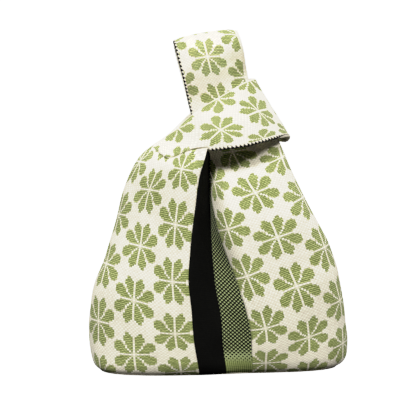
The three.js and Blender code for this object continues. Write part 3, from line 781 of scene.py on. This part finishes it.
# the tuck across the shoulder, under which the panel's cloth disappears: (part of the width, row)
TUCK = [[0, 150], [0.05, 149.2], [0.172, 144.8], [0.261, 141.7], [0.358, 137.2], [0.397, 132.7], [0.433, 128.2],
        [0.497, 125.2], [0.614, 125.7], [0.789, 127.3], [1, 128.3]]
TUCK_SIZE = [[0, 0.0], [0.05, 0.05], [0.2, 0.3], [0.35, 0.55], [0.5, 0.6], [0.65, 0.2], [0.8, 0.0], [1, 0.0]]
RIGHT_MARKS = [
  [16.4, 0.106, 17.8, 12.75], [63, 0.117, 17.8, 70.25], [127.5, 0.097, 17.8, 127.75],
  [187.4, 0.128, 17.8, 185.25], [241.1, 0.072, 17.8, 242.75], [41.6, 0.456, 61.8, 41.5],
  [100.2, 0.419, 61.8, 99], [158.3, 0.458, 61.8, 156.5], [210.7, 0.483, 61.8, 214],
  [268.1, 0.333, 61.8, 271.5], [28.5, 0.781, 105.8, 12.75], [70.7, 0.8, 105.8, 70.25],
  [129.1, 0.8, 105.8, 127.75], [183.7, 0.9, 105.8, 185.25], [237.1, 0.922, 105.8, 242.75],
  [296.5, 1, 105.8, 311], [376.4, 0.439, 61.8, 386.5], [322.2, 0.478, 61.8, 329], [357.1, 0.025, 29.5, 357.75],
  [334.2, 0.983, 105.8, 357.75], [402.2, 0.003, 28, 415.25], [395.3, 0.994, 105.8, 415.25]]


PL = np.array([left_fn(float(i), COLS) for i in li])
PU = np.array([loop_row(float(u), COLS) for u in lu])
strip = np.concatenate([PL, PU[1:]])
joint = len(PL) - 1
# ease the line where the panel turns into the loop
for _ in range(60):
    mid = strip.copy()
    mid[1:-1] = (strip[:-2] + strip[2:]) / 2
    r = np.arange(len(strip))[:, None]
    w = np.exp(-((r - joint) / 12.0) ** 2) * np.where(r < joint, smooth(cols[None, :] / 0.25), 1.0)
    strip = strip + (mid - strip) * (0.5 * w)[..., None]
panel_knit, loop_knit = knit_plan(strip, PANEL_MARKS), knit_plan(strip, LOOP_MARKS)
# rows that follow the tuck, then its lip: the loop's side comes forward over the panel's side
tuck_row = Pchip(*zip(*TUCK))(cols)
tuck_size = np.interp(cols, *zip(*TUCK_SIZE))
every = np.arange(len(strip))


def regrid(F, lo, hi, count):
    return np.stack([np.stack([np.interp(np.linspace(a, b, count), every, F[:, c, k]) for k in range(F.shape[2])], -1)
                     for c, (a, b) in enumerate(zip(lo, hi))], 1)


ends = (np.zeros(COLS), tuck_row - 0.08), (tuck_row + 0.08, np.full(COLS, len(strip) - 1.0))
kL = np.concatenate([regrid(panel_knit, *ends[0], joint + 1), regrid(loop_knit, *ends[1], len(strip) - joint)])
strip = np.concatenate([regrid(strip, *ends[0], joint + 1), regrid(strip, *ends[1], len(strip) - joint)])
joint += 1
along, across_ = np.gradient(strip, axis=0), np.gradient(strip, axis=1)
along /= np.linalg.norm(along, axis=2, keepdims=True)
way_out = np.cross(along, across_)
way_out /= np.linalg.norm(way_out, axis=2, keepdims=True)
way_out *= np.sign(way_out @ np.array([0, -1.0, 0.4]))[..., None]
run_l = np.concatenate([np.zeros((1, COLS)), np.cumsum(np.linalg.norm(np.diff(strip, axis=0), axis=2), 0)])
gap_l = run_l - run_l[joint]
upper = (np.arange(len(strip)) >= joint)[:, None]
out_l = np.where(upper, 3.4 * np.exp(-(gap_l / 13.0) ** 2), -1.0 * np.exp(-(gap_l / 7.0) ** 2)) * tuck_size
up_l = np.where(upper, -2.6 * np.exp(-(gap_l / 9.0) ** 2), 1.2 * np.exp(-(gap_l / 7.0) ** 2)) * tuck_size
strip = strip + way_out * out_l[..., None] + along * up_l[..., None]
PL, PU = strip[:joint], strip[joint:]
front = (strip, stack(kL[..., 0], kL[..., 1] - 53.5), True)
fold = arc(strip[:, 0])
fold = np.clip((fold[-1] - fold) / 46.0, 0, 1)
behind = mirror(strip)
behind[..., 2] -= 7.0 * np.sin(math.pi * fold ** 0.6)[:, None] * (1 - cols[None, :]) ** 1.5
side_u = kL[:, -1, 0].copy()                 # the knit runs on round the side; above the shoulder it is its mirror
side_u[138:joint], side_u[joint:] = side_u[138], 61.8
rear = (behind, stack(2 * side_u[:, None] - kL[..., 0], kL[..., 1] - 53.5), False)
left = cloth("left_knit_piece", [front, rear], [M_JACQ, M_BACK, M_JACQ])

# ---------------------------------------------------------------------------
# Right piece and long strap
# ---------------------------------------------------------------------------
ri, (rt, rLn) = even_rows(right_fn, 0.0, 11.0, 161)
PR = np.array([right_fn(float(i), COLS) for i in ri])
wcol = (cols * 2 - 1) * STRAP_HALF
foot = strap_at(wcol, HINGE_H + 2 + SLOPE * wcol, -3.0)
JOIN = 0.55
neck_t = np.linspace(0, 1, 33)
neck = PR[-1][None] + (foot - PR[-1])[None] * neck_t[:, None, None]
jn = int(round(JOIN * 32))

prof = [[q, -y] for q, y in HANDLE_PROFILE] + [[q, y] for q, y in HANDLE_PROFILE[:-1][::-1]]
side = np.array([catmull(prof, k / 400 * (len(prof) - 1)) for k in range(401)]) * np.array([HANDLE_H - 8, 1])
side = resample(side, 121) / np.array([HANDLE_H - 8, 1])
crown = 2.4 * np.cos(math.pi * wcol / 70.0) - 1.6 * smooth((wcol - 25) / 7.5) - 0.8 * smooth((-wcol - 26) / 6.5)
low_h, top_h = HINGE_H + 2 + SLOPE * wcol, HANDLE_H + HANDLE_TILT * wcol + crown
hand = np.array([strap_at(wcol, low_h + (top_h - low_h) * q, y) for q, y in side])
# smooth the run from the shoulder of the right piece into the strap
run = np.concatenate([PR, neck[1:], hand[1:61]])
k0 = len(PR) - 1
for _ in range(50):
    mid = run.copy()
    mid[1:-1] = (run[:-2] + run[2:]) / 2
    r = np.arange(len(run))
    w = np.maximum(np.exp(-((r - k0) / 9.0) ** 2), np.exp(-((r - k0 - 32) / 6.0) ** 2))
    run = run + (mid - run) * (0.5 * w)[:, None, None]
body_front = run[:k0 + jn + 1]
strap_half = run[k0 + jn:]
kR = knit_plan(run, RIGHT_MARKS)
uv_run = stack(kR[..., 0], kR[..., 1] - 12.75)
around_side = stack(2 * kR[:, -1:, 0] - kR[..., 0], kR[..., 1] - 12.75)
uv_front = uv_run[:k0 + jn + 1]
uv_rear = np.concatenate([around_side[:k0 + 1], uv_run[k0 + 1:k0 + jn + 1]])
right = cloth("right_knit_piece", [(body_front, uv_front, False), (mirror(body_front), uv_rear, True)],
              [M_JACQ, M_BACK, M_JACQ])

strap_P = np.concatenate([strap_half, mirror(strap_half[:-1][::-1])])
uv_half = uv_run[k0 + jn:]
uv_strap = np.concatenate([uv_half, uv_half[:-1][::-1]])
handle = cloth("handle_knit_strap", [(strap_P, uv_strap, False)], [M_JACQ, M_BACK, M_JACQ])

# ---------------------------------------------------------------------------
# Stripes of the front and back pleats
# ---------------------------------------------------------------------------
def bezier(a, q, b, count):
    t = np.linspace(0, 1, 81)[:, None]
    return resample(a * (1 - t) ** 2 + q * 2 * t * (1 - t) + b * t * t, count)


rz = [r[0] for r in RIGHT_ROWS]
dip_at, zo_at = Pchip(rz, [r[3] for r in RIGHT_ROWS]), Pchip(rz, [r[1] for r in RIGHT_ROWS])


def stripe_row(i, ca, cb):
    za, ze, zc = (float(f(i)) for f in rS)
    A = np.array([float(fA[0](za)), -float(fA[1](za)), za])
    E = np.array([float(fE[0](ze)), -float(fE[1](ze)), ze])
    C = np.array([float(fC[0](zc)), -float(fC[1](zc)), zc])
    dip = float(dip_at(zc))
    xd = float(fD[0](float(zo_at(zc))))
    tan = np.array([1, -2 * dip / (ROLL * (xd - C[0])), 0])
    tan /= np.linalg.norm(tan)
    qa = np.array([A[0] + 0.45 * (E[0] - A[0]), A[1], za + 0.45 * (ze - za)])
    reach = min(0.45 * np.linalg.norm(E - C), max(1, (C[0] - E[0] + 1) / tan[0]))
    qc = C - tan * reach
    qc[2] = zc + 0.4 * (ze - zc)
    return bezier(A, qa, E, ca), bezier(E, qc, C, cb)


si, (st_t, st_L) = even_rows(lambda i, c: stripe_row(i, c, c)[0], 0.0, 11.0, 151)
rows = [stripe_row(float(i), 25, 25) for i in si]
PB, PC = np.array([r[0] for r in rows]), np.array([r[1] for r in rows])
sV = np.interp(si, st_t, st_L)


def across(P, pitch):
    d = np.linalg.norm(np.diff(P, axis=1), axis=2)
    return np.concatenate([np.zeros((len(P), 1)), np.cumsum(d, 1)], 1) / pitch


uvB = np.stack([across(PB, 2.1), np.repeat(sV[:, None] / 1.9, 25, 1)], -1)
uvC = np.stack([across(PC, 2.2), np.repeat(sV[:, None] / 2.0, 25, 1)], -1)
stripes = {}
for where, fl, mir in (("front", False, lambda P: P), ("back", True, mirror)):
    stripes[where, "black"] = cloth(f"{where}_black_knit", [(mir(PB), uvB, fl)], [M_BLACK, M_BACK, M_BLACK])
    stripes[where, "check"] = cloth(f"{where}_check_knit", [(mir(PC), uvC, fl)], [M_CHECK, M_BACK, M_CHECK])

# ---------------------------------------------------------------------------
# Base
# ---------------------------------------------------------------------------
def rim_line(inset):
    n = LEFT_ROWS[0][2]
    xa, ya = float(fA[0](1)), float(fA[1](1))
    xb, xc, yc, xd = float(fB[0](1)), float(fC[0](1)), float(fC[1](1)), float(fD[0](1))
    a = course((xa, ya - inset, 1), (xb + inset, 0, 1), n, 0, 90)[::-1]
    b = course((xc, yc - inset, 1), (xd - inset, 0, 1), n, 0, 90)
    return resample(np.concatenate([a, b]), 181)


edge_line = rim_line(1.2)[2:-2]
ty = np.linspace(-1, 1, 41)
base_P = np.stack([np.repeat(edge_line[:, 0][:, None], 41, 1), edge_line[:, 1][:, None] * -ty[None, :],
                   0.15 + 0.75 * np.abs(ty)[None, :] ** 6 + 0 * edge_line[:, 1][:, None]], -1)
base_P[..., 2] += 0.25 * (1 + np.sin(base_P[..., 0] / 13.0) * np.cos(base_P[..., 1] / 11.0)) * (1 - np.abs(ty)[None, :] ** 4)
base_uv = np.stack([base_P[..., 0] / WALE, base_P[..., 1] / COURSE + 15.0], -1)
base = cloth("base_knit_panel", [(base_P, base_uv, False)], [M_JACQ, M_BACK, M_JACQ], shake=False)

# ---------------------------------------------------------------------------
# Hems
# ---------------------------------------------------------------------------
def edge_of(P, col):
    near = 2 if col == 0 else -3
    return P[:, col], P[:, near]


def face_of(P, col):
    """Way out of the outer face at an edge column."""
    a = P[:, col]
    b = P[:, 2 if col == 0 else -3]
    t = np.gradient(a, axis=0)
    return np.cross(t, b - a)


def hem_of(name, P, col, flip_face, **kw):
    line, ins = edge_of(P, col)
    return hem(name, line, ins, face_of(P, col) * flip_face, [M_EDGE], **kw)


loop_all = np.concatenate([PU, behind[joint:-1][::-1]])
low_hem = hem_of("loop_lower_hem", loop_all, 0, 1, out_r=1.9, face_r=1.7, out=0.9, turn=-72.0,
                 pinch=[[0, 1], [0.36, 1], [0.44, 4], [0.56, 4], [0.64, 1], [1, 1]])
slit0 = int(np.searchsorted(PL[:, -1, 2], panel_row(rL, fA, fB, 10.25, 2)[-1, 2]))
left_slit = np.concatenate([PL[slit0:], PU])[:, -3:]
slit_all = np.concatenate([left_slit, mirror(left_slit[:-1][::-1])])
up_hem = hem_of("loop_upper_hem", slit_all, -1, -1, turn=90.0, out_r=1.3)
arm0 = int(np.searchsorted(ri, 4.75))
arm = body_front[arm0:]
arm_f = hem_of("armhole_hem_front", arm, -1, 1, turn=22.0, out_r=1.2)
arm_b = hem_of("armhole_hem_back", mirror(arm), -1, -1, turn=22.0, out_r=1.2)
nk0 = int(np.searchsorted(ri, 9.2))
nk = body_front[nk0:]
nk_f = hem_of("neck_hem_front", nk, 0, -1, turn=60.0, out_r=1.2)
nk_b = hem_of("neck_hem_back", mirror(nk), 0, 1, turn=60.0, out_r=1.2)
han_l = hem_of("handle_hem_left", strap_P, 0, -1, turn=-78.0, out_r=1.5, face_r=1.6)
han_r = hem_of("handle_hem_right", strap_P, -1, 1, turn=70.0, out_r=1.3)

ring = rim_line(0.9)
ring = np.concatenate([ring, mirror(ring[1:-1][::-1]), ring[:1]])
ring[:, 2] = 1.25
ctr = np.array([6.0, 0, 1.25])
seam = hem("base_seam_stitch", ring, ring + (ctr - ring) * 0.03, np.tile([0, 0, -1.0], (len(ring), 1)), [M_EDGE],
           out_r=1.1, face_r=1.0, out=0.2, turn=90.0, thick=0.0)

# ---------------------------------------------------------------------------
# Riding, what each piece stands for
# ---------------------------------------------------------------------------
def P3(w, h, y=0.0):
    p = strap_at(w, h, y) + np.array([OX, 0, 0])
    return tuple(float(v) * 0.001 for v in p)


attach(left, "bag")
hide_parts("left_front_panel", "left_back_panel", "short_loop")
for where in ("front", "back"):
    for kind in ("black", "check"):
        o = stripes[where, kind]
        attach(o, "bag")
        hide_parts(f"{where}_{kind}_stripe")
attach(base, "bag")
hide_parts("base_panel")
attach(seam, "bag")
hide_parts("base_seam")
for o, node in ((low_hem, "short_loop_lower_edge"), (up_hem, "short_loop_upper_edge")):
    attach(o, "bag")
    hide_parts(node)

soft_start, soft_end = P3(0, -112), P3(0, -14)
for o in (right, arm_f, arm_b, nk_f, nk_b):
    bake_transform(o)
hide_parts("right_front_panel", "right_back_panel")
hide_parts("armhole_edge_front")
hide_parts("armhole_edge_back")

hinge = strap_at(0, HINGE_H, 0) + np.array([OX, 0, 0])
for o in (handle, han_l, han_r):
    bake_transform(o)
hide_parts("strap_front_leg", "strap_back_leg", "handle_strap")
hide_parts("handle_left_edge")
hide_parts("handle_right_edge")
